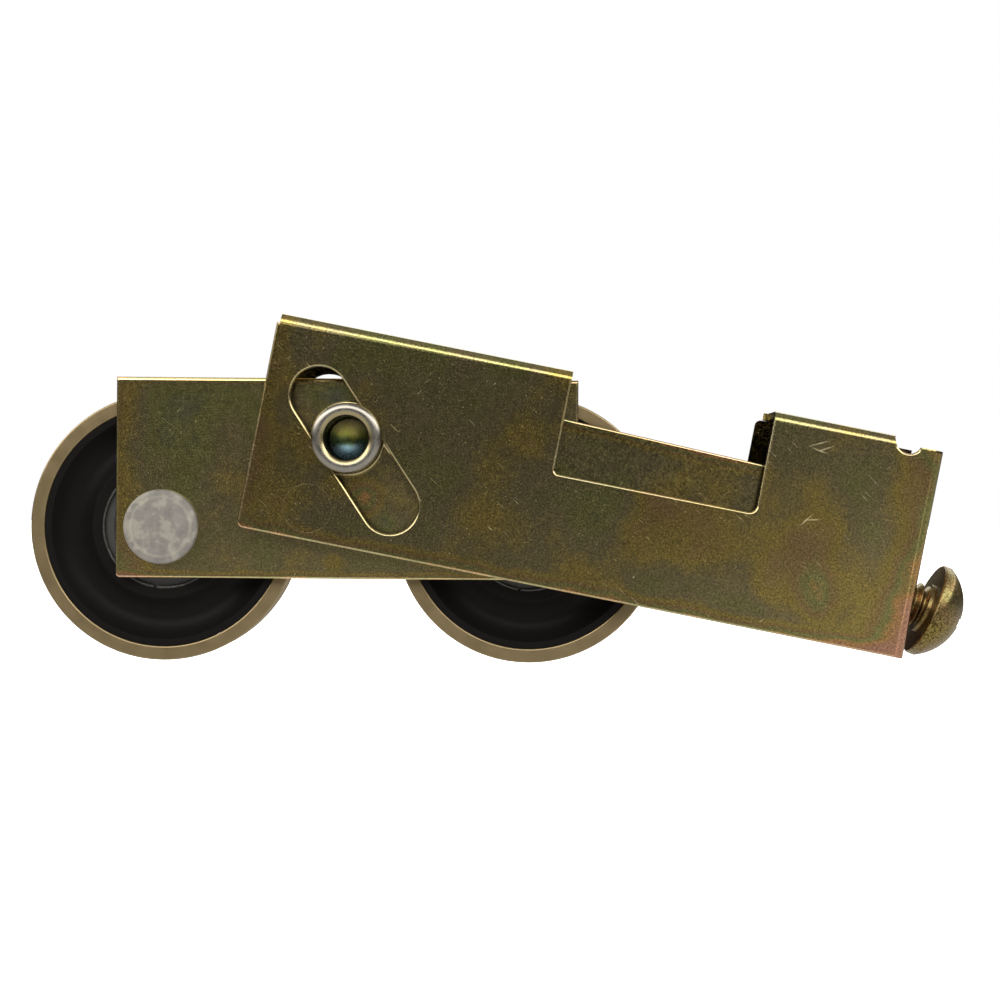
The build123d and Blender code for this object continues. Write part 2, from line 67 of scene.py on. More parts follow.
# Where the pieces turn or lean, from the frame
web_normal = Vector(mounts["top_web"]["axis"])
housing_lean = Vector((0, 0, 1)).angle(web_normal)
pivot_centre = Vector(joints["carriage_rock"]["pos_m"])
screw_start = Vector(joints["screw_turn"]["pos_m"])
screw_axis = Vector(joints["screw_turn"]["axis"])
screw_lean = Vector((1, 0, 0)).angle(screw_axis)
wheel_centres = {side: Vector(joints[f"{side}_wheel_spin"]["pos_m"]) for side in SIDES}
right_wheel_centre = wheel_centres["right"]


def length(name, description, millimetres):
    """Property for a size, given in millimetres and kept in metres."""
    return FloatProperty(
        name=name,
        description=description,
        default=millimetres * MM,
        min=0.0,
        precision=5,
        subtype="DISTANCE",
        unit="LENGTH",
    )


def colour(name, description, red, green, blue):
    """Property for a linear colour."""
    return FloatVectorProperty(
        name=name,
        description=description,
        default=(red, green, blue),
        min=0.0,
        max=1.0,
        size=3,
        subtype="COLOR",
    )


class RollerSheetSizes(bpy.types.PropertyGroup):
    """Edges of the folded sheets"""

    cut_edge: length("Cut edge", "Rounding along the edges of the cut sheet", 0.28)
    carriage_bend: length("Carriage bend", "Outer radius of the carriage's bend", 1.7)
    edge_segments: IntProperty(
        name="Edge segments", description="Faces across a rounded edge", default=3, min=1, max=6
    )
    fold_angle: FloatProperty(
        name="Fold angle",
        description="Edges that turn by more than this are rounded",
        default=radians(35),
        subtype="ANGLE",
    )


class RollerTurnedSizes(bpy.types.PropertyGroup):
    """Turned pieces: wheels, rivets, rings and shields"""

    steps: IntProperty(name="Steps", description="Faces round a turned piece", default=144, min=24)
    turned_edge: length("Turned edge", "Rounding of a turned piece's corners", 0.1)
    tyre_depth: length("Tyre depth", "Height of the steel tyre over the hub", 2.0)
    tread_hollow: length("Tread hollow", "Depth of the groove that runs on the rail", 0.6)
    land_width: length("Land width", "Flat on each side of the tread's groove", 1.0)
    hub_inset: length("Hub inset", "Depth of the hub's faces behind the tyre's", 0.15)
    rim_depth: length("Rim depth", "Height of the hub's rim inside the tyre", 0.9)
    web_thickness: length("Web thickness", "Thickness of the hub's dished web", 2.2)
    boss_wall: length("Boss wall", "Wall of the hub's boss round the snap ring's groove", 0.9)
    back_lip: length("Back lip", "Reach of the boss behind the bearing", 0.9)
    seat_gap: length("Seat gap", "Gap between pieces that are seated", 0.02)
    shield_lip: length("Shield lip", "Depth of the shields' pressed ring", 0.12)
    shield_edge: length("Shield edge", "Rounding of the shields' edges", 0.03)
    shield_gap: length("Shield gap", "Gap between a shield and the inner ring", 0.2)
    fine_edge: length("Fine edge", "Rounding of the snap rings and of the screw's head", 0.12)
    axle_head_crown: length("Axle head crown", "Rise of an axle rivet's flat head", 0.05)
    inner_ring_wall: length("Inner ring wall", "Thickness of the bearing's inner ring", 1.6)
    axle_tail: length("Axle tail", "Radius of an axle rivet's closed end", 4.5)


class RollerPivotSizes(bpy.types.PropertyGroup):
    """Pivot rivet, with its rolled end in front"""

    rolled_height: length("Rolled height", "Height of the rolled ring", 1.3)
    rolled_radius: length("Rolled radius", "Outer radius of the rolled ring", 4.9)
    head_height: length("Head height", "Height of the head behind", 1.5)
    shank: length("Shank", "Radius of the shank", 3.9)
    bore: length("Bore", "Radius of the drilled bore", 3.05)
    bore_depth: length("Bore depth", "Depth of the bore under the ring", 6.5)
    bore_point: length("Bore point", "Depth of the drill's point under the ring", 7.7)
    roll_steps: IntProperty(name="Roll steps", description="Faces over the ring", default=12, min=4)


class RollerScrewSizes(bpy.types.PropertyGroup):
    """Thread of the adjusting screw"""

    pitch: length("Pitch", "Distance between turns of thread", 1.27)
    thread_depth: length("Thread depth", "Height of the thread over its root", 0.72)
    crest: length("Crest", "Width of the thread's top", 0.2)
    root: length("Root", "Width of the thread's bottom", 0.28)
    screw_radius: length("Screw radius", "Radius over the thread", 3.17)
    under_head: length("Under the head", "Place of the head's underside past the end wall", 3.45)
    neck: length("Neck", "Length of the plain neck under the head", 0.5)
    screw_length: length("Screw length", "Length under the head", 25.4)
    point: length("Point", "Length of the tapered end", 1.0)
    steps: IntProperty(name="Steps", description="Faces round one turn of thread", default=56, min=12)


class RollerFinishes(bpy.types.PropertyGroup):
    """Colours of the finishes"""

    teal: colour("Teal film", "Thinnest chromate film", 0.28, 0.28, 0.17)
    green: colour("Green film", "Thin chromate film", 0.34, 0.33, 0.12)
    olive: colour("Olive film", "Chromate film on most of the steel", 0.35, 0.287, 0.14)
    brown: colour("Brown film", "Thicker chromate film", 0.42, 0.285, 0.12)
    amber: colour("Amber film", "Chromate film that runs to yellow", 0.46, 0.35, 0.1)
    orange: colour("Orange film", "Chromate film towards the cut edges", 0.60, 0.34, 0.13)
    pink: colour("Pink film", "Thickest chromate film", 0.56, 0.30, 0.19)
    # Pale colour of scratches and marks, and also of the painted highlight along the rounded cut edges
    bare_zinc_and_highlight: colour("Bare edge", "Thin film on a cut edge", 0.62, 0.52, 0.34)
    zinc: colour("Zinc", "Clear zinc on rivets and spacers", 0.3, 0.28, 0.24)
    dull: colour("Dull zinc", "Tumbled zinc of the axle rivets", 0.165, 0.153, 0.135)
    steel: colour("Tyre steel", "Turned steel of the tyres", 0.31, 0.235, 0.125)
    bearing: colour("Bearing steel", "Ground steel of rings and balls", 0.4, 0.39, 0.37)
    black: colour("Black hub", "Black coating of the hubs", 0.004, 0.0036, 0.0033)
    # Also given to the bearings' outer rings
    shield: colour("Dark shield", "Darkened steel of the shields", 0.05, 0.048, 0.045)


class RollerFilm(bpy.types.PropertyGroup):
    """Patterns of the chromate film: sizes in millimetres, and how strongly each one shows; also the painted shade
    inside a channel
    """

    drift: FloatProperty(name="Drift", description="Size of the slow drift of colour", default=16.0)
    cloud: FloatProperty(name="Cloud", description="Size of the clouds", default=5.0)
    mottle: FloatProperty(name="Mottle", description="Size of the mottling", default=0.8)
    grain: FloatProperty(name="Grain", description="Size of the grain", default=0.28)
    drift_gain: FloatProperty(name="Drift gain", description="Drift in the film's thickness", default=0.9)
    cloud_gain: FloatProperty(name="Cloud gain", description="Clouds in the film's thickness", default=0.4)
    mottle_gain: FloatProperty(name="Mottle gain", description="Mottling in the thickness", default=0.12)
    cloud_shade: FloatProperty(name="Cloud shade", description="Clouds in the brightness", default=0.3)
    mottle_shade: FloatProperty(name="Mottle shade", description="Mottling in the brightness", default=0.25)
    grain_shade: FloatProperty(name="Grain shade", description="Grain in the brightness", default=1.9)
    # Painted shade: how far faces that look into a channel are darkened, standing in for the shade inside it
    painted_shade_inside: FloatProperty(name="Inside", description="Darkening inside a channel", default=0.75)
    scratch_gain: FloatProperty(name="Scratches", description="Strength of scratches", default=0.4)
    speck_gain: FloatProperty(name="Specks", description="Strength of bright specks", default=0.5)
    satin: FloatProperty(name="Satin", description="Least roughness of the film", default=0.13)
    depth: FloatProperty(name="Depth", description="Depth of the film's grain", default=0.004)


class RollerStage(bpy.types.PropertyGroup):
    """Camera, lights and floor"""

    camera_side: length("Camera to the right", "Camera's place along the roller", 21.78)
    camera_away: length("Camera away", "Camera's distance in front of the roller's middle", 273.7)
    camera_height: length("Camera height", "Camera's height over the track", 23.16)
    lens: FloatProperty(name="Lens", description="Focal length", default=68.4, unit="CAMERA")
    roll: FloatProperty(
        name="Roll", description="Turn of the camera about its view", default=radians(0.45), subtype="ANGLE"
    )
    floor: length("Floor", "Half the width of the floor", 4000)
    floor_drop: length("Floor drop", "Depth of the floor under the track, clear of the wheels", 30)
    floor_colour: colour("Floor colour", "Plain pale floor", 0.9, 0.9, 0.9)
    floor_glow: FloatProperty(name="Floor glow", description="Own light of the floor", default=0.8)
    room: FloatProperty(name="Room", description="Strength of the light from all sides", default=0.03)
    front: FloatProperty(name="Front", description="Strength of the panel before the roller", default=5.0)
    behind: FloatProperty(name="Behind", description="Strength of the panel behind the roller", default=2.5)
    band_low: FloatProperty(name="Panel height", description="Height of the panels' lower edge", default=0.23)
    beside: FloatProperty(name="Beside", description="Strength of the light on the right", default=0.45)
    overhead: FloatProperty(name="Overhead", description="Strength of the light overhead", default=0.4)
    under: FloatProperty(name="Under", description="Strength of the light from the floor", default=0.9)
    key: FloatProperty(name="Key", description="Strength of the key light", default=0.4)
    key_spread: FloatProperty(name="Key spread", description="How wide the key light looks", default=40)


class Value:
    """A number that varies over a surface, with Python's arithmetic on it."""

    def __init__(self, finish, socket):
        self.finish = finish
        self.socket = socket

    def __add__(self, other):
        return self.finish.math("ADD", self, other)

    def __sub__(self, other):
        return self.finish.math("SUBTRACT", self, other)

    def __rsub__(self, other):
        return self.finish.math("SUBTRACT", other, self)

    def __mul__(self, other):
        return self.finish.math("MULTIPLY", self, other)

    def __truediv__(self, other):
        return self.finish.math("DIVIDE", self, other)

    def __pow__(self, other):
        return self.finish.math("POWER", self, other)

    def __abs__(self):
        return self.finish.math("ABSOLUTE", self)

    __radd__ = __add__
    __rmul__ = __mul__


class Nodes:
    """A node tree, with the maths and patterns that are drawn in it."""

    def __init__(self, tree):
        self.tree = tree

    def feed(self, socket, value):
        if isinstance(value, Value):
            self.tree.links.new(value.socket, socket)
        else:
            socket.default_value = value

    def node(self, kind, settings, sockets, output=0):
        """Adds a node: its settings first, then its sockets' values or links."""
        node = self.tree.nodes.new(kind)
        for name, value in settings.items():
            if name == "stops":
                self.set_stops(node.color_ramp, value)
            else:
                setattr(node, name, value)
        for name, value in sockets.items():
            self.feed(node.inputs[name], value)
        return Value(self, node.outputs[output])

    def set_stops(self, ramp, stops):
        while len(ramp.elements) < len(stops):
            ramp.elements.new(1.0)
        for element, (place, shade) in zip(ramp.elements, stops):
            element.position = place
            element.color = (*shade, 1.0)

    def math(self, operation, first, second=0.0):
        return self.node("ShaderNodeMath", {"operation": operation}, {0: first, 1: second})

    def spot(self, centre, lean=0.0):
        """Place on the piece in millimetres, from a centre and along a leaning piece."""
        bare = self.node("ShaderNodeTexCoord", {}, {}, "Object")
        sockets = {
            "Vector": bare,
            "Location": tuple(centre),
            "Rotation": (0, lean, 0),
            "Scale": (MM, MM, MM),
        }
        return self.node("ShaderNodeMapping", {"vector_type": "TEXTURE"}, sockets)

    def parts(self, place):
        """Along, across and up, as three numbers."""
        return [self.node("ShaderNodeSeparateXYZ", {}, {0: place}, axis) for axis in "XYZ"]

    def joined(self, along, across, up):
        return self.node("ShaderNodeCombineXYZ", {}, {"X": along, "Y": across, "Z": up})

    def noise(self, place, size, detail=2.0, roughness=0.5, output="Fac"):
        """Cloudy noise with features of about that size in millimetres."""
        sockets = {"Vector": place, "Scale": 1 / size, "Detail": detail, "Roughness": roughness}
        return self.node("ShaderNodeTexNoise", {}, sockets, output)

    def cells(self, place, size, feature, output):
        sockets = {"Vector": place, "Scale": 1 / size}
        return self.node("ShaderNodeTexVoronoi", {"feature": feature}, sockets, output)

    def streaks(self, place, turn, long, thin, share):
        """Short straight scratches that all run one way."""
        sockets = {"Vector": place, "Rotation": (0, turn, 0), "Scale": (long, long, thin)}
        drawn = self.node("ShaderNodeMapping", {"vector_type": "TEXTURE"}, sockets)
        return self.fade(self.noise(drawn, 1.0, 0.0), share + 0.03, share)

    def cut(self, along, up, start_along, start_up, end_along, end_up):
        """One scratch between two points, widest in its middle."""
        run = Vector((end_along - start_along, end_up - start_up))
        line = run.normalized()
        forward = (along - start_along) * line.x + (up - start_up) * line.y
        aside = (along - start_along) * line.y - (up - start_up) * line.x
        middle = self.fade(abs(forward - run.length / 2), 0.0, run.length / 2)
        return middle * self.fade(abs(aside), 0.03, 0.16)

    def shifted(self, place, size, reach):
        """Place pushed about by noise, so that lines drawn on it curl."""
        push = self.noise(place, size, output="Color")
        centred = self.node(
            "ShaderNodeVectorMath", {"operation": "SUBTRACT"}, {0: push, 1: (0.5, 0.5, 0.5)}
        )
        scaled = self.node(
            "ShaderNodeVectorMath", {"operation": "SCALE"}, {"Vector": centred, "Scale": reach}
        )
        return self.node("ShaderNodeVectorMath", {"operation": "ADD"}, {0: place, 1: scaled})

    def fade(self, value, full, none):
        """1 where the value is at full, easing to 0 at none."""
        sockets = {"Value": value, "From Min": full, "From Max": none, "To Min": 1.0, "To Max": 0.0}
        settings = {"interpolation_type": "SMOOTHSTEP", "clamp": True}
        if full > none:
            sockets.update({"From Min": none, "From Max": full, "To Min": 0.0, "To Max": 1.0})
        return self.node("ShaderNodeMapRange", settings, sockets)

    def ramp(self, value, stops):
        return self.node("ShaderNodeValToRGB", {"stops": stops}, {"Fac": value})

    def mixed(self, share, first, second):
        """Mix of two colours; a plain colour has three numbers."""
        colours = [c if isinstance(c, Value) else (*c, 1.0) for c in (first, second)]
        sockets = {0: share, 6: colours[0], 7: colours[1]}
        return self.node("ShaderNodeMix", {"data_type": "RGBA"}, sockets, 2)

    def attribute(self, name):
        return self.node("ShaderNodeAttribute", {"attribute_name": name}, {}, "Fac")


class Finish(Nodes):
    """A material, built node by node around its Principled shader."""

    def __init__(self, name, colour, metallic, roughness):
        self.material = bpy.data.materials.new(name)
        self.material.use_nodes = True
        super().__init__(self.material.node_tree)
        self.shader = self.tree.nodes["Principled BSDF"]
        self.shader.inputs["Base Color"].default_value = (*colour, 1.0)
        self.shader.inputs["Metallic"].default_value = metallic
        self.shader.inputs["Roughness"].default_value = roughness

    def wire(self, **sockets):
        for name, value in sockets.items():
            self.feed(self.shader.inputs[name.replace("_", " ").title()], value)

    def bump(self, height, depth, strength=1.0):
        """Feeds the shader's normal from a height, whose full range is a depth in millimetres."""
        sockets = {"Height": height, "Distance": depth * MM, "Strength": strength}
        self.feed(self.shader.inputs["Normal"], self.node("ShaderNodeBump", {}, sockets))


def film_stops(colours):
    """The chromate's colours, from its thinnest film to its thickest."""
    return [
        (0.0, colours.teal),
        (0.16, colours.green),
        (0.32, colours.olive),
        (0.48, colours.amber),
        (0.62, colours.brown),
        (0.74, colours.green),
        (0.87, colours.orange),
        (1.0, colours.pink),
    ]


def yellow_zinc(
    name, centre, lean, film=0.42, warm_sides=(), marks=1.0, ring=None, stains=(), dull=0.0,
    tone=0.85, cuts=(),
):
    """Yellow chromate on zinc: the film's colour drifts with its thickness and warms at cut edges. Faces inside a
    channel get painted shade, and the rounded cut edges a painted highlight.

    Sides, stains, cuts and the ring are in millimetres along and up from the centre; film is the
    mean thickness from 0 to 1, marks how worn the piece is, and tone its brightness.
    """
    colours = bpy.context.scene.roller_finishes
    pattern = bpy.context.scene.roller_film
    f = Finish(name, colours.olive, 1.0, 0.2)
    spot = f.spot(centre, lean)
    along, across, up = f.parts(spot)
    drift = f.noise(spot, pattern.drift, 2.0)
    cloud = f.noise(spot, pattern.cloud, 2.0, 0.5)
    mottle = f.noise(spot, pattern.mottle, 3.0, 0.6)
    grain = f.noise(spot, pattern.grain, 2.0, 0.7)
    thickness = film + (drift - 0.5) * pattern.drift_gain + (cloud - 0.5) * pattern.cloud_gain
    thickness = thickness + (mottle - 0.5) * pattern.mottle_gain
    for axis, edge, reach, gain in warm_sides:
        distance = abs({"along": along, "up": up}[axis] - edge)
        thickness = thickness + f.fade(distance, 0.0, reach) * gain
    for stain_along, stain_up, reach, gain in stains:
        away = ((along - stain_along) ** 2.0 + (up - stain_up) ** 2.0) ** 0.5
        thickness = thickness + f.fade(away, 0.0, reach) * gain
    base = f.ramp(thickness, film_stops(colours))
    # Painted shade: faces that look into a channel are darkened, standing in for the shade inside it
    inside = f.attribute("inside")
    shade = (1 - inside * pattern.painted_shade_inside) * tone + (cloud - 0.5) * pattern.cloud_shade
    shade = shade + (mottle - 0.5) * pattern.mottle_shade + (grain - 0.5) * pattern.grain_shade
    base = f.node("ShaderNodeVectorMath", {"operation": "SCALE"}, {"Vector": base, "Scale": shade})
    # Short scratches and small bright specks from handling
    worn = f.fade(f.noise(spot, 5.5, 2.0), 0.62, 0.46)
    scratches = f.streaks(spot, 0.6, 2.4, 0.12, 0.81) + f.streaks(spot, -0.9, 1.8, 0.11, 0.81)
    speck_place = f.shifted(spot, 0.6, 0.5)
    speck = f.fade(f.cells(speck_place, 0.9, "F1", "Distance"), 0.03, 0.1)
    wear = (scratches * pattern.scratch_gain + speck * pattern.speck_gain) * worn * marks
    for cut in cuts:
        wear = wear + f.cut(along, up, *cut) * (0.2 + 0.7 * mottle)
    base = f.mixed(wear, base, colours.bare_zinc_and_highlight)
    # Painted highlight: the rounded cut edges are lightened towards the pale edge colour, standing in for the
    # light they catch
    edge = f.attribute("cut_edge") * (0.1 + 0.5 * cloud)
    base = f.mixed(edge, base, colours.bare_zinc_and_highlight)
    height = grain * 0.6 + cloud * 0.2 - wear * 0.3
    if ring:
        ring_along, ring_up, ring_radius = ring
        reach = ((along - ring_along) ** 2.0 + (up - ring_up) ** 2.0) ** 0.5
        line = f.fade(abs(reach - ring_radius), 0.02, 0.12) * f.fade(across, -8.0, -7.0)
        base = f.mixed(line * 0.25, base, colours.bare_zinc_and_highlight)
        height = height + line * 2.0
    satin = pattern.satin + dull + grain * 0.07 + mottle * 0.07
    f.wire(base_color=base, roughness=satin + wear * 0.3 + edge * 0.1)
    f.bump(height, pattern.depth, 0.5)
    return f.material


def clear_zinc(name):
    """Thin clear zinc on spacers and washers."""
    colours = bpy.context.scene.roller_finishes
    f = Finish(name, colours.zinc, 1.0, 0.3)
    spot = f.spot((0, 0, 0))
    cloud = f.noise(spot, 1.6, 4.0, 0.6)
    shade = f.mixed(cloud, [0.7 * c for c in colours.zinc], colours.zinc)
    f.wire(base_color=shade, roughness=0.24 + cloud * 0.18)
    f.bump(cloud, 0.01, 0.5)
    return f.material


def rolled_zinc(name, bore_radius, bore_top):
    """Bright rolled ring of the pivot rivet, with an iridescent film down in its bore."""
    colours = bpy.context.scene.roller_finishes
    f = Finish(name, colours.zinc, 1.0, 0.26)
    spot = f.spot(pivot_centre)
    along, across, up = f.parts(spot)
    reach = (along ** 2.0 + up ** 2.0) ** 0.5
    cloud = f.noise(spot, 0.8, 3.0, 0.6)
    rings = f.noise(f.joined(reach, 0.0, 0.0), 0.12, 3.0)
    silver = f.mixed(cloud, [0.72 * c for c in colours.zinc], colours.zinc)
    band = 0.5 + up / (2.2 * bore_radius) + (f.noise(spot, 2.2, 2.0) - 0.5) * 0.5
    film = f.ramp(
        band,
        [
            (0.05, (0.07, 0.14, 0.18)),
            (0.3, (0.12, 0.19, 0.22)),
            (0.47, (0.1, 0.16, 0.08)),
            (0.62, (0.28, 0.28, 0.06)),
            (0.8, (0.38, 0.3, 0.11)),
            (0.95, (0.42, 0.28, 0.15)),
        ],
    )
    inside = f.fade(reach, bore_radius + 0.05, bore_radius + 0.2)
    inside = inside * f.fade(across, bore_top + 0.5, bore_top - 0.1)
    slope = f.fade(reach, bore_radius + 0.55, bore_radius + 0.8)
    silver = f.mixed(slope * 0.8, silver, colours.olive)
    rim = f.fade(abs(reach - bore_radius), 0.0, 0.2)
    f.wire(
        base_color=f.mixed(rim * 0.85, f.mixed(inside, silver, film), colours.shield),
        roughness=0.2 + cloud * 0.16,
    )
    f.bump(rings * 0.6 + cloud * 0.4, 0.015, 0.5)
    return f.material


def dull_zinc(name):
    """Tumbled zinc of the axle rivets: mottled, with the faint rings of its heading tool."""
    colours = bpy.context.scene.roller_finishes
    f = Finish(name, colours.dull, 0.45, 0.5)
    spot = f.spot((0, 0, right_wheel_centre.z))
    along, across, up = f.parts(spot)
    out = abs(along) - right_wheel_centre.x / MM
    reach = (out ** 2.0 + up ** 2.0) ** 0.5
    mottle = f.noise(spot, 1.3, 5.0, 0.65)
    fine = f.noise(spot, 0.22, 3.0, 0.6)
    dents = f.fade(f.cells(f.shifted(spot, 1.5, 1.2), 1.9, "F1", "Distance"), 0.0, 0.55)
    ring = f.fade(abs(reach - 3.3), 0.0, 0.22) * f.fade(f.noise(spot, 3.0, 1.0), 0.6, 0.4)
    tone = f.ramp(
        mottle,
        [
            (0.25, [0.65 * c for c in colours.dull]),
            (0.5, [0.9 * c for c in colours.dull]),
            (0.75, [1.15 * c for c in colours.dull]),
        ],
    )
    patch = f.fade(f.noise(f.shifted(spot, 1.2, 1.0), 2.6, 3.0, 0.6), 0.6, 0.5)
    pale = patch * 0.7 + f.fade(abs(reach - 4.2), 0.0, 0.35) * 0.6
    f.wire(base_color=f.mixed(pale * 0.38, tone, (0.32, 0.3, 0.23)), roughness=0.5 + fine * 0.2)
    f.bump(mottle * 0.4 + fine * 0.15 - dents * 0.35 - ring * 0.5, 0.06, 0.55)
    return f.material


def turned_steel(name):
    """Turned steel of the tyres, warm grey with the lathe's fine rings."""
    colours = bpy.context.scene.roller_finishes
    f = Finish(name, colours.steel, 1.0, 0.34)
    spot = f.spot((0, 0, right_wheel_centre.z))
    along, across, up = f.parts(spot)
    out = abs(along) - right_wheel_centre.x / MM
    reach = (out ** 2.0 + up ** 2.0) ** 0.5
    rings = f.noise(f.joined(reach, across, 0.0), 0.1, 4.0, 0.7)
    cloud = f.noise(spot, 3.0, 3.0, 0.6)
    tone = f.mixed(rings * 0.5 + cloud * 0.5, [0.62 * c for c in colours.steel], colours.steel)
    f.wire(base_color=tone, roughness=0.3 + cloud * 0.16)
    f.bump(rings, 0.012, 0.5)
    return f.material


def black_coat(name):
    """Satin black coating of the hubs."""
    colours = bpy.context.scene.roller_finishes
    f = Finish(name, colours.black, 0.0, 0.42)
    f.shader.inputs["Specular IOR Level"].default_value = 0.05
    spot = f.spot((0, 0, 0))
    peel = f.noise(spot, 0.5, 3.0, 0.55)
    dust = f.fade(f.noise(spot, 0.16, 2.0), 0.78, 0.7) * f.fade(f.noise(spot, 4.0, 1.0), 0.6, 0.45)
    f.wire(
        base_color=f.mixed(dust * 0.35, colours.black, (0.05, 0.045, 0.04)),
        roughness=0.36 + peel * 0.16,
    )
    f.bump(peel, 0.02, 0.4)
    return f.material


def bright_steel(name):
    """Spring steel of the split snap rings."""
    colours = bpy.context.scene.roller_finishes
    f = Finish(name, colours.bearing, 1.0, 0.25)
    cloud = f.noise(f.spot((0, 0, 0)), 0.7, 3.0, 0.6)
    f.wire(
        base_color=f.mixed(cloud, [0.2 * c for c in colours.bearing], [0.5 * c for c in colours.bearing]),
        roughness=0.2 + cloud * 0.2,
    )
    return f.material


def ground_steel(name):
    """Ground steel of bearing rings, balls and cages, with a film of oil."""
    colours = bpy.context.scene.roller_finishes
    f = Finish(name, colours.bearing, 1.0, 0.18)
    f.shader.inputs["Coat Roughness"].default_value = 0.1
    cloud = f.noise(f.spot((0, 0, 0)), 1.2, 3.0, 0.6)
    f.wire(
        base_color=f.mixed(cloud, [0.8 * c for c in colours.bearing], colours.bearing),
        roughness=0.12 + cloud * 0.12,
        coat_weight=cloud * 0.4,
    )
    return f.material


def dark_steel(name):
    """Dark steel of the bearings' shields and outer rings, faintly ringed."""
    colours = bpy.context.scene.roller_finishes
    f = Finish(name, colours.shield, 0.7, 0.4)
    spot = f.spot((0, 0, right_wheel_centre.z))
    along, across, up = f.parts(spot)
    out = abs(along) - right_wheel_centre.x / MM
    reach = (out ** 2.0 + up ** 2.0) ** 0.5
    rings = f.noise(f.joined(reach, 0.0, 0.0), 0.25, 2.0, 0.6)
    f.wire(
        base_color=f.mixed(rings, [0.5 * c for c in colours.shield], [1.8 * c for c in colours.shield]),
        roughness=0.3 + rings * 0.2,
    )
    f.bump(rings, 0.02, 0.5)
    return f.material


def make_piece(bm, name, body, slot, material, *nodes):
    """Turns a finished mesh into a piece that rides on a body and stands for CAD nodes."""
    mesh = bpy.data.meshes.new(name)
    bm.to_mesh(mesh)
    bm.free()
    mesh.materials.append(material)
    mesh.shade_smooth()
    mesh.set_sharp_from_angle(angle=bpy.context.scene.roller_sheet.fold_angle)
    piece = bpy.data.objects.new(name, mesh)
    bpy.context.scene.collection.objects.link(piece)
    weighted = piece.modifiers.new("flat_faces", "WEIGHTED_NORMAL")
    weighted.keep_sharp = True
    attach(piece, body)
    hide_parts(*nodes)
    return piece


def dress(node, material):
    """Gives a CAD node its finish."""
    for slot in frame["nodes"][node].material_slots:
        slot.material = material


def round_edges(bm, radius, segments, chosen=None, clamp=True):
    """Rounds sharp edges, all of them or those that are chosen, and marks the new faces."""
    sheet = bpy.context.scene.roller_sheet
    marks = bm.faces.layers.float.new("cut_edge")
    sharp = [
        e for e in bm.edges
        if e.is_manifold and e.calc_face_angle() > sheet.fold_angle and (chosen is None or chosen(e))
    ]
    rounded = bmesh.ops.bevel(
        bm,
        geom=sharp,
        offset=radius,
        offset_type="OFFSET",
        segments=segments,
        profile=0.5,
        affect="EDGES",
        material=-1,
        clamp_overlap=clamp,
    )
    for face in rounded["faces"]:
        face[marks] = 1.0
    return bm


def sharpen_bend(bm, radius):
    """Draws the bends along a channel's top out to the sharp edge that the real one shows."""
    half = max(v.co.y for v in bm.verts)
    top = max(v.co.z for v in bm.verts)
    for vert in bm.verts:
        across = abs(vert.co.y) - (half - radius)
        up = vert.co.z - (top - radius)
        if across > WELD and up > WELD and (across ** 2 + up ** 2) ** 0.5 > 0.99 * radius:
            stretch = radius / max(across, up)
            vert.co.y = (1 if vert.co.y > 0 else -1) * (half - radius + across * stretch)
            vert.co.z = top - radius + up * stretch


def solid_copy(node, bend=0.0):
    """Merged copy of a CAD node's mesh, with its flat faces whole."""
    bm = bmesh.new()
    bm.from_mesh(frame["nodes"][node].data)
    bmesh.ops.remove_doubles(bm, verts=bm.verts, dist=WELD)
    if bend:
        sharpen_bend(bm, bend)
    bmesh.ops.dissolve_limit(bm, angle_limit=radians(0.4), verts=bm.verts, edges=bm.edges)
    return bm


def folded_sheet(node, bend=0.0):
    """Copy of a folded sheet with the edges of its outer side faces rounded."""
    sheet = bpy.context.scene.roller_sheet
    bm = solid_copy(node, bend)
    half = max(abs(v.co.y) for v in bm.verts)
    # Faces that look into the channel; the finish darkens them with painted shade
    inside = bm.faces.layers.float.new("inside")
    for face in bm.faces:
        face[inside] = float(face.normal.y * face.calc_center_median().y < -0.5 * half)

    def outside(edge):
        return all(abs(v.co.y) > half - WELD for v in edge.verts)

    return round_edges(bm, sheet.cut_edge, sheet.edge_segments, outside, clamp=False)


def bowed(first, last, sag, count=10):
    """Points of a shallow hollow between two points, without the ends; sag is along the radius."""
    points = []
    for i in range(1, count):
        t = i / count
        forward = first[0] + (last[0] - first[0]) * t
        radius = first[1] + (last[1] - first[1]) * t
        points.append((forward, radius - 4 * sag * t * (1 - t)))
    return points


def dished(first, last, depth, sign, count=12):
    """Points of a dished face between two radii, without the ends."""
    points = []
    for i in range(1, count):
        t = i / count
        radius = first[1] + (last[1] - first[1]) * t
        points.append((first[0] - sign * 4 * depth * t * (1 - t), radius))
    return points


def turned(points, centre, closed=True, sweep=2 * pi):
    """Spins a half section about an axis across the roller; its points are (forward, radius)."""
    steps = bpy.context.scene.roller_turned.steps
    bm = bmesh.new()
    ring = [
        bm.verts.new((centre.x, centre.y - forward, centre.z + radius)) for forward, radius in points
    ]
    pairs = list(zip(ring, ring[1:]))
    if closed:
        pairs.append((ring[-1], ring[0]))
    edges = [bm.edges.new(pair) for pair in pairs]
    whole = sweep >= 2 * pi
    bmesh.ops.spin(
        bm,
        geom=ring + edges,
        cent=centre,
        axis=(0, 1, 0),
        angle=sweep,
        steps=steps,
        use_merge=whole,
    )
    bmesh.ops.remove_doubles(bm, verts=bm.verts, dist=WELD)
    if not whole:
        bmesh.ops.holes_fill(bm, edges=[e for e in bm.edges if e.is_boundary])
    bmesh.ops.recalc_face_normals(bm, faces=bm.faces)
    return bm


def span(node):
    """Front and back of a node along the axle, and its largest radius."""
    low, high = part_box(node)
    return -low.y, -high.y, (high.z - low.z) / 2


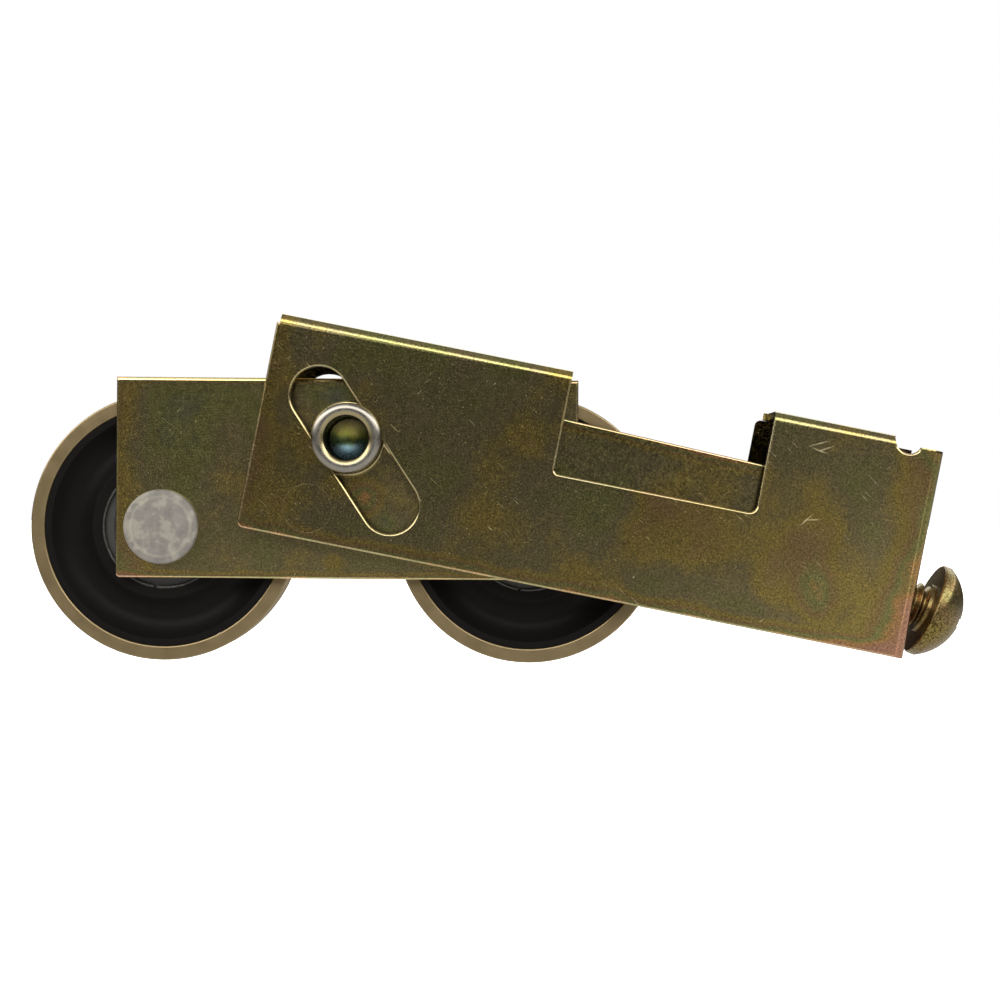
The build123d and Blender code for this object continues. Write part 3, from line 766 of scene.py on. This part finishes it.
class ROLLER_OT_housing(bpy.types.Operator):
    """Dress the folded housing"""

    bl_idname = "roller.housing"
    bl_label = "Housing"

    def execute(self, context):
        warm = (("up", -15.1, 2.6, 0.42), ("along", 82.3, 8.0, 0.52), ("along", -12.7, 4.0, 0.2))
        stains = (
            (68.4, -9.0, 5.5, 0.3),
            (66.2, -3.5, 6.0, 0.14),
            (43.0, -7.0, 6.5, 0.16),
            (36.5, -4.0, 9.0, -0.24),
            (70.0, 8.6, 8.0, -0.06),
            (80.3, 10.0, 5.0, -0.12),
            (12.0, 6.0, 24.0, -0.28),
            (-10.4, -13.0, 4.0, -0.1),
        )
        cuts = (
            (62.9, 11.2, 66.7, 13.0),
            (63.2, 11.5, 67.0, 10.8),
            (64.6, 10.9, 67.2, 12.3),
            (64.0, -0.2, 66.2, 2.7),
            (64.4, 1.1, 67.6, 1.9),
            (61.5, -14.0, 61.9, -13.4),
            (42.9, -11.3, 43.2, -11.1),
            (9.2, -6.4, 9.9, -8.0),
        )
        finish = yellow_zinc(
            "yellow_zinc_housing", pivot_centre, housing_lean, 0.42, warm, 1.0, (-3.5, -10.64, 3.4),
            stains, cuts=cuts,
        )
        make_piece(folded_sheet("housing"), "folded_housing", "housing", "yellow_zinc", finish, "housing")
        return {"FINISHED"}


class ROLLER_OT_carriage(bpy.types.Operator):
    """Dress the folded carriage"""

    bl_idname = "roller.carriage"
    bl_label = "Carriage"

    def execute(self, context):
        warm = (("up", -19.83, 1.4, 0.45), ("up", 8.3, 1.0, 0.3), ("along", -32.5, 5.0, 0.2))
        stains = (
            (-1.8, -17.8, 2.6, 0.3),
            (2.4, -8.6, 4.0, 0.62),
            (5.2, -11.7, 2.2, -0.15),
            (-1.9, 5.4, 5.0, -0.3),
            (-23.8, 2.5, 9.0, -0.16),
        )
        finish = yellow_zinc(
            "yellow_zinc_carriage", pivot_centre, 0.0, 0.34, warm, 0.7, None, stains, tone=1.17
        )
        piece = folded_sheet("carriage_frame", context.scene.roller_sheet.carriage_bend)
        make_piece(piece, "folded_carriage", "carriage", "yellow_zinc", finish, "carriage_frame")
        return {"FINISHED"}


class ROLLER_OT_yoke(bpy.types.Operator):
    """Dress the yoke that the adjusting screw pulls"""

    bl_idname = "roller.yoke"
    bl_label = "Yoke"

    def execute(self, context):
        warm = (("up", 9.53, 2.2, 0.55),)
        lean = housing_lean + radians(1.73)
        finish = yellow_zinc("yellow_zinc_yoke", pivot_centre, lean, 0.25, warm, 0.6)
        piece = folded_sheet("adjusting_yoke")
        make_piece(piece, "pressed_yoke", "yoke", "yellow_zinc", finish, "adjusting_yoke")
        return {"FINISHED"}


def thread(sizes):
    """Helical thread along +X, capped at both ends; its place is counted from the end wall."""
    start = sizes.under_head - sizes.screw_length
    end = sizes.under_head - sizes.neck / 2
    turns = int((end - start) / sizes.pitch) + 2
    root_radius = sizes.screw_radius - sizes.thread_depth
    flank = (sizes.pitch - sizes.crest - sizes.root) / 2
    profile = [
        (0.0, root_radius),
        (sizes.root, root_radius),
        (sizes.root + flank, sizes.screw_radius),
        (sizes.root + flank + sizes.crest, sizes.screw_radius),
        (sizes.pitch, root_radius),
    ]
    bm = bmesh.new()
    chain = [bm.verts.new((start - sizes.pitch + x, 0, radius)) for x, radius in profile]
    edges = [bm.edges.new(pair) for pair in zip(chain, chain[1:])]
    bmesh.ops.spin(
        bm,
        geom=chain + edges,
        cent=(0, 0, 0),
        axis=(1, 0, 0),
        dvec=(sizes.pitch / sizes.steps, 0, 0),
        angle=2 * pi * turns,
        steps=sizes.steps * turns,
    )
    bmesh.ops.remove_doubles(bm, verts=bm.verts, dist=WELD)
    for place, normal in ((start, (-1, 0, 0)), (end, (1, 0, 0))):
        bmesh.ops.bisect_plane(
            bm, geom=bm.verts[:] + bm.edges[:] + bm.faces[:], plane_co=(place, 0, 0),
            plane_no=normal, clear_outer=True,
        )
    for vert in bm.verts:
        reach = Vector((0, vert.co.y, vert.co.z)).length
        limit = sizes.screw_radius - max(0.0, start + sizes.point - vert.co.x)
        if reach > limit:
            vert.co.y *= limit / reach
            vert.co.z *= limit / reach
    bmesh.ops.holes_fill(bm, edges=[e for e in bm.edges if e.is_boundary])
    bmesh.ops.recalc_face_normals(bm, faces=bm.faces)
    return bm


class ROLLER_OT_screw(bpy.types.Operator):
    """Make the adjusting screw: the solid's head on a real thread"""

    bl_idname = "roller.screw"
    bl_label = "Adjusting screw"

    def execute(self, context):
        sizes = context.scene.roller_screw
        bm = solid_copy("adjusting_screw")
        neck_end = screw_start + screw_axis * (sizes.under_head - sizes.neck)
        bmesh.ops.bisect_plane(
            bm, geom=bm.verts[:] + bm.edges[:] + bm.faces[:], plane_co=neck_end,
            plane_no=-screw_axis, clear_outer=True, dist=WELD,
        )
        bmesh.ops.holes_fill(bm, edges=[e for e in bm.edges if e.is_boundary])
        round_edges(bm, context.scene.roller_turned.fine_edge, 2)
        shank = thread(sizes)
        place = Matrix.Translation(screw_start) @ Matrix.Rotation(screw_lean, 4, "Y")
        bmesh.ops.transform(shank, matrix=place, verts=shank.verts)
        join(bm, shank)
        finish = yellow_zinc(
            "yellow_zinc_screw", screw_start, screw_lean, 0.5, (), 1.0, dull=0.16, tone=0.42
        )
        make_piece(bm, "threaded_screw", "screw", "yellow_zinc", finish, "adjusting_screw")
        return {"FINISHED"}


def join(bm, other):
    """Adds another mesh to this one."""
    spare = bpy.data.meshes.new("spare")
    other.to_mesh(spare)
    other.free()
    bm.from_mesh(spare)
    bpy.data.meshes.remove(spare)


class ROLLER_OT_pivot(bpy.types.Operator):
    """Turn the pivot rivet, and finish its spacer and washers"""

    bl_idname = "roller.pivot"
    bl_label = "Pivot rivet"

    def execute(self, context):
        sizes = context.scene.roller_pivot
        front, back, head = span("pivot_rivet")
        face = front - sizes.rolled_height
        back_face = back + sizes.head_height
        side = sizes.rolled_height / 2
        lip = (sizes.rolled_radius + sizes.bore) / 2
        roll_points = []
        for i in range(1, sizes.roll_steps):
            turn = pi * i / sizes.roll_steps
            across = lip - (sizes.rolled_radius - sizes.bore) / 2 * cos(turn)
            roll_points.append((face + side + side * sin(turn), across))
        points = [
            (back, 0.0),
            (back, head),
            (back_face, head),
            (back_face, sizes.shank),
            (face, sizes.shank),
            (face, sizes.rolled_radius),
            (face + side, sizes.rolled_radius),
            *reversed(roll_points),
            (face + side, sizes.bore),
            (face - sizes.bore_depth, sizes.bore),
            (face - sizes.bore_point, 0.0),
        ]
        bm = turned(points, pivot_centre, closed=False)
        round_edges(bm, context.scene.roller_turned.turned_edge, 2)
        finish = rolled_zinc("rolled_zinc", sizes.bore / MM, -face / MM)
        make_piece(bm, "rolled_rivet", "pivot", "clear_zinc", finish, "pivot_rivet")
        zinc = clear_zinc("clear_zinc")
        for node in ("pivot_spacer", "front_pivot_washer", "back_pivot_washer"):
            dress(node, zinc)
        return {"FINISHED"}


class ROLLER_OT_tyres(bpy.types.Operator):
    """Turn the two steel tyres"""

    bl_idname = "roller.tyres"
    bl_label = "Tyres"

    def execute(self, context):
        sizes = context.scene.roller_turned
        finish = turned_steel("turned_steel")
        for side in SIDES:
            front, back, radius = span(f"{side}_tyre")
            land = (front - sizes.land_width, radius), (back + sizes.land_width, radius)
            points = [
                (front, radius - sizes.tyre_depth),
                (front, radius),
                land[0],
                *bowed(land[0], land[1], sizes.tread_hollow),
                land[1],
                (back, radius),
                (back, radius - sizes.tyre_depth),
            ]
            bm = turned(points, wheel_centres[side])
            round_edges(bm, 2.5 * sizes.turned_edge, 3)
            make_piece(bm, f"{side}_steel_tyre", f"{side}_wheel", "wheel_steel", finish, f"{side}_tyre")
        return {"FINISHED"}


class ROLLER_OT_hubs(bpy.types.Operator):
    """Turn the two black dished hubs"""

    bl_idname = "roller.hubs"
    bl_label = "Hubs"

    def execute(self, context):
        sizes = context.scene.roller_turned
        finish = black_coat("black_coat")
        for side in SIDES:
            front, back, radius = span(f"{side}_hub")
            seat = span(f"{side}_bearing_outer_ring")
            groove = span(f"{side}_snap_ring")
            bearing = seat[2] + sizes.seat_gap
            boss = groove[2] + sizes.seat_gap + sizes.boss_wall
            rim = radius - sizes.rim_depth
            dish = front - sizes.web_thickness / 2
            points = [
                (front, boss),
                *dished((front, boss), (front, rim), dish, 1),
                (front, rim),
                (front, radius),
                (back, radius),
                (back, rim),
                *dished((back, rim), (back, boss), dish, -1),
                (back, boss),
                (back, seat[2] - sizes.back_lip),
                (seat[1] - sizes.seat_gap, seat[2] - sizes.back_lip),
                (seat[1] - sizes.seat_gap, bearing),
                (groove[1], bearing),
                (groove[1], groove[2] + sizes.seat_gap),
                (groove[0] + sizes.seat_gap, groove[2] + sizes.seat_gap),
                (groove[0] + sizes.seat_gap, bearing),
                (front, bearing),
            ]
            bm = turned(points, wheel_centres[side])
            round_edges(bm, sizes.turned_edge, 2)
            make_piece(bm, f"{side}_dished_hub", f"{side}_wheel", "black_hub", finish, f"{side}_hub")
        return {"FINISHED"}


class ROLLER_OT_snap_rings(bpy.types.Operator):
    """Round the edges of the split snap rings"""

    bl_idname = "roller.snap_rings"
    bl_label = "Snap rings"

    def execute(self, context):
        finish = bright_steel("bright_steel")
        for side in SIDES:
            bm = solid_copy(f"{side}_snap_ring")
            round_edges(bm, context.scene.roller_turned.fine_edge, 2)
            make_piece(
                bm, f"{side}_split_ring", f"{side}_wheel", "bearing_steel", finish, f"{side}_snap_ring"
            )
        return {"FINISHED"}


class ROLLER_OT_bearings(bpy.types.Operator):
    """Press the shields, and finish the rings, balls and cages"""

    bl_idname = "roller.bearings"
    bl_label = "Bearings"

    def execute(self, context):
        sizes = context.scene.roller_turned
        dark = dark_steel("dark_shield")
        ground = ground_steel("ground_steel")
        for side in SIDES:
            inner = span(f"{side}_bearing_inner_ring")[2] + sizes.shield_gap
            for face, sign in FACES:
                front, back, outer = span(f"{side}_{face}_shield")
                shown, hidden = (front, back) if sign > 0 else (back, front)
                step = outer - (outer - inner) * 0.3
                low = inner + (outer - inner) * 0.25
                dip = sign * sizes.shield_lip
                points = [
                    (hidden, outer),
                    (shown, outer),
                    (shown, step),
                    (shown - dip, step - abs(dip)),
                    (shown - dip, low + abs(dip)),
                    (shown, low),
                    (shown, inner),
                    (hidden, inner),
                ]
                bm = turned(points, wheel_centres[side])
                round_edges(bm, sizes.shield_edge, 1)
                make_piece(
                    bm, f"{side}_{face}_dust_shield", f"{side}_wheel", "dark_shield", dark,
                    f"{side}_{face}_shield",
                )
            # The outer ring takes the shields' dark finish rather than the ground steel of the other rings, so its
            # face shows dark
            dress(f"{side}_bearing_outer_ring", dark)
            for node in ("bearing_inner_ring", "bearing_balls", "ball_cage"):
                dress(f"{side}_{node}", ground)
        return {"FINISHED"}


class ROLLER_OT_axles(bpy.types.Operator):
    """Turn the axle rivets, and finish their spacers"""

    bl_idname = "roller.axles"
    bl_label = "Axle rivets"

    def execute(self, context):
        sizes = context.scene.roller_turned
        dull = dull_zinc("dull_zinc")
        zinc = clear_zinc("spacer_zinc")
        half = -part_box("carriage_frame")[0].y
        for side in SIDES:
            front, back, head = span(f"{side}_axle_rivet")
            axle = span(f"{side}_bearing_inner_ring")[2] - sizes.inner_ring_wall - sizes.seat_gap
            points = [
                (back, 0.0),
                (back, sizes.axle_tail),
                (-half, sizes.axle_tail),
                (-half, axle),
                (half, axle),
                (half, head),
                (front - sizes.axle_head_crown, head),
                (front, 0.6 * head),
                (front, 0.0),
            ]
            bm = turned(points, wheel_centres[side], closed=False)
            round_edges(bm, 4 * sizes.turned_edge, 4)
            make_piece(
                bm, f"{side}_headed_rivet", "carriage", "dull_zinc", dull, f"{side}_axle_rivet"
            )
            for face, _ in FACES:
                dress(f"{side}_{face}_axle_spacer", zinc)
        return {"FINISHED"}


def soft_light(name, towards, strength, spread):
    """Large soft light, far off in a direction from the roller; spread is how wide it looks."""
    lamp = bpy.data.lights.new(name, "SUN")
    lamp.energy = strength
    lamp.angle = radians(spread)
    light = bpy.data.objects.new(name, lamp)
    light.rotation_mode = "QUATERNION"
    light.rotation_quaternion = Vector(towards).to_track_quat("Z", "Y")
    bpy.context.scene.collection.objects.link(light)
    return light


def studio_room(stage):
    """World of soft panels before and behind the roller, which shows white in the picture."""
    world = bpy.data.worlds.new("studio")
    world.use_nodes = True
    bpy.context.scene.world = world
    nodes, links = world.node_tree.nodes, world.node_tree.links
    background = nodes["Background"]
    background.inputs["Color"].default_value = (1.0, 0.985, 0.96, 1.0)
    room = Nodes(world.node_tree)
    along, away, up = room.parts(room.node("ShaderNodeTexCoord", {}, {}, "Generated"))
    band = room.fade(up, stage.band_low + 0.16, stage.band_low) * room.fade(up, 0.55, 0.8)
    front = room.fade(away, -0.15, 0.15)
    panels = band * (front * stage.front + (1 - front) * stage.behind)
    beside = room.fade(along, 0.28, 0.06) * room.fade(along, 0.36, 0.8) * front
    beside = beside * room.fade(abs(up + 0.15), 0.1, 0.24)
    overhead = room.fade(up, 0.95, 0.7)
    under = room.fade(up, -0.3, 0.03)
    light = stage.room + panels + beside * stage.beside + overhead * stage.overhead + under * stage.under
    room.feed(background.inputs["Strength"], light)
    white = nodes.new("ShaderNodeBackground")
    white.inputs["Color"].default_value = (1.0, 1.0, 1.0, 1.0)
    path = nodes.new("ShaderNodeLightPath")
    mix = nodes.new("ShaderNodeMixShader")
    links.new(path.outputs["Is Camera Ray"], mix.inputs["Fac"])
    links.new(background.outputs["Background"], mix.inputs[1])
    links.new(white.outputs["Background"], mix.inputs[2])
    links.new(mix.outputs["Shader"], nodes["World Output"].inputs["Surface"])


class ROLLER_OT_stage(bpy.types.Operator):
    """Set out the floor, the lights and the camera"""

    bl_idname = "roller.stage"
    bl_label = "Stage"

    def execute(self, context):
        stage = context.scene.roller_stage
        bm = bmesh.new()
        drop = Matrix.Translation((0, 0, -stage.floor_drop))
        bmesh.ops.create_grid(bm, x_segments=1, y_segments=1, size=stage.floor, matrix=drop)
        mesh = bpy.data.meshes.new("floor")
        bm.to_mesh(mesh)
        bm.free()
        pale = Finish("pale_floor", stage.floor_colour, 0.0, 0.6)
        cloud = pale.noise(pale.spot((0, 0, 0)), 400.0, 1.0)
        pale.shader.inputs["Emission Color"].default_value = (*stage.floor_colour, 1.0)
        pale.shader.inputs["Emission Strength"].default_value = stage.floor_glow
        pale.wire(roughness=0.6 + cloud * 0.1)
        mesh.materials.append(pale.material)
        floor = bpy.data.objects.new("floor", mesh)
        context.scene.collection.objects.link(floor)
        floor.visible_glossy = False
        soft_light("key", (-0.3, -0.6, 0.74), stage.key, stage.key_spread)
        studio_room(stage)
        lens = bpy.data.cameras.new("camera")
        lens.lens = stage.lens
        lens.clip_start = 0.01
        camera = bpy.data.objects.new("camera", lens)
        camera.location = (stage.camera_side, -stage.camera_away, stage.camera_height)
        camera.rotation_euler = (pi / 2, -stage.roll, 0)
        context.scene.collection.objects.link(camera)
        context.scene.camera = camera
        context.scene.view_settings.view_transform = "Standard"
        return {"FINISHED"}


OPERATORS = (
    ROLLER_OT_housing,
    ROLLER_OT_carriage,
    ROLLER_OT_yoke,
    ROLLER_OT_screw,
    ROLLER_OT_pivot,
    ROLLER_OT_tyres,
    ROLLER_OT_hubs,
    ROLLER_OT_snap_rings,
    ROLLER_OT_bearings,
    ROLLER_OT_axles,
    ROLLER_OT_stage,
)
SETTINGS = {
    "roller_sheet": RollerSheetSizes,
    "roller_turned": RollerTurnedSizes,
    "roller_screw": RollerScrewSizes,
    "roller_finishes": RollerFinishes,
    "roller_film": RollerFilm,
    "roller_pivot": RollerPivotSizes,
    "roller_stage": RollerStage,
}


class ROLLER_PT_pieces(bpy.types.Panel):
    """Lists the pieces in the sidebar"""

    bl_idname = "ROLLER_PT_pieces"
    bl_label = "Door roller"
    bl_space_type = "VIEW_3D"
    bl_region_type = "UI"
    bl_category = "Door roller"

    def draw(self, context):
        for operator in OPERATORS:
            self.layout.operator(operator.bl_idname)


def register():
    for group in SETTINGS.values():
        bpy.utils.register_class(group)
    for name, group in SETTINGS.items():
        setattr(bpy.types.Scene, name, PointerProperty(type=group))
    for operator in OPERATORS:
        bpy.utils.register_class(operator)
    bpy.utils.register_class(ROLLER_PT_pieces)


def unregister():
    bpy.utils.unregister_class(ROLLER_PT_pieces)
    for operator in reversed(OPERATORS):
        bpy.utils.unregister_class(operator)
    for name, group in SETTINGS.items():
        delattr(bpy.types.Scene, name)
        bpy.utils.unregister_class(group)


def main():
    register()
    bpy.ops.roller.housing()
    bpy.ops.roller.carriage()
    bpy.ops.roller.yoke()
    bpy.ops.roller.screw()
    bpy.ops.roller.pivot()
    bpy.ops.roller.tyres()
    bpy.ops.roller.hubs()
    bpy.ops.roller.snap_rings()
    bpy.ops.roller.bearings()
    bpy.ops.roller.axles()
    bpy.ops.roller.stage()


if __name__ == "__main__":
    main()
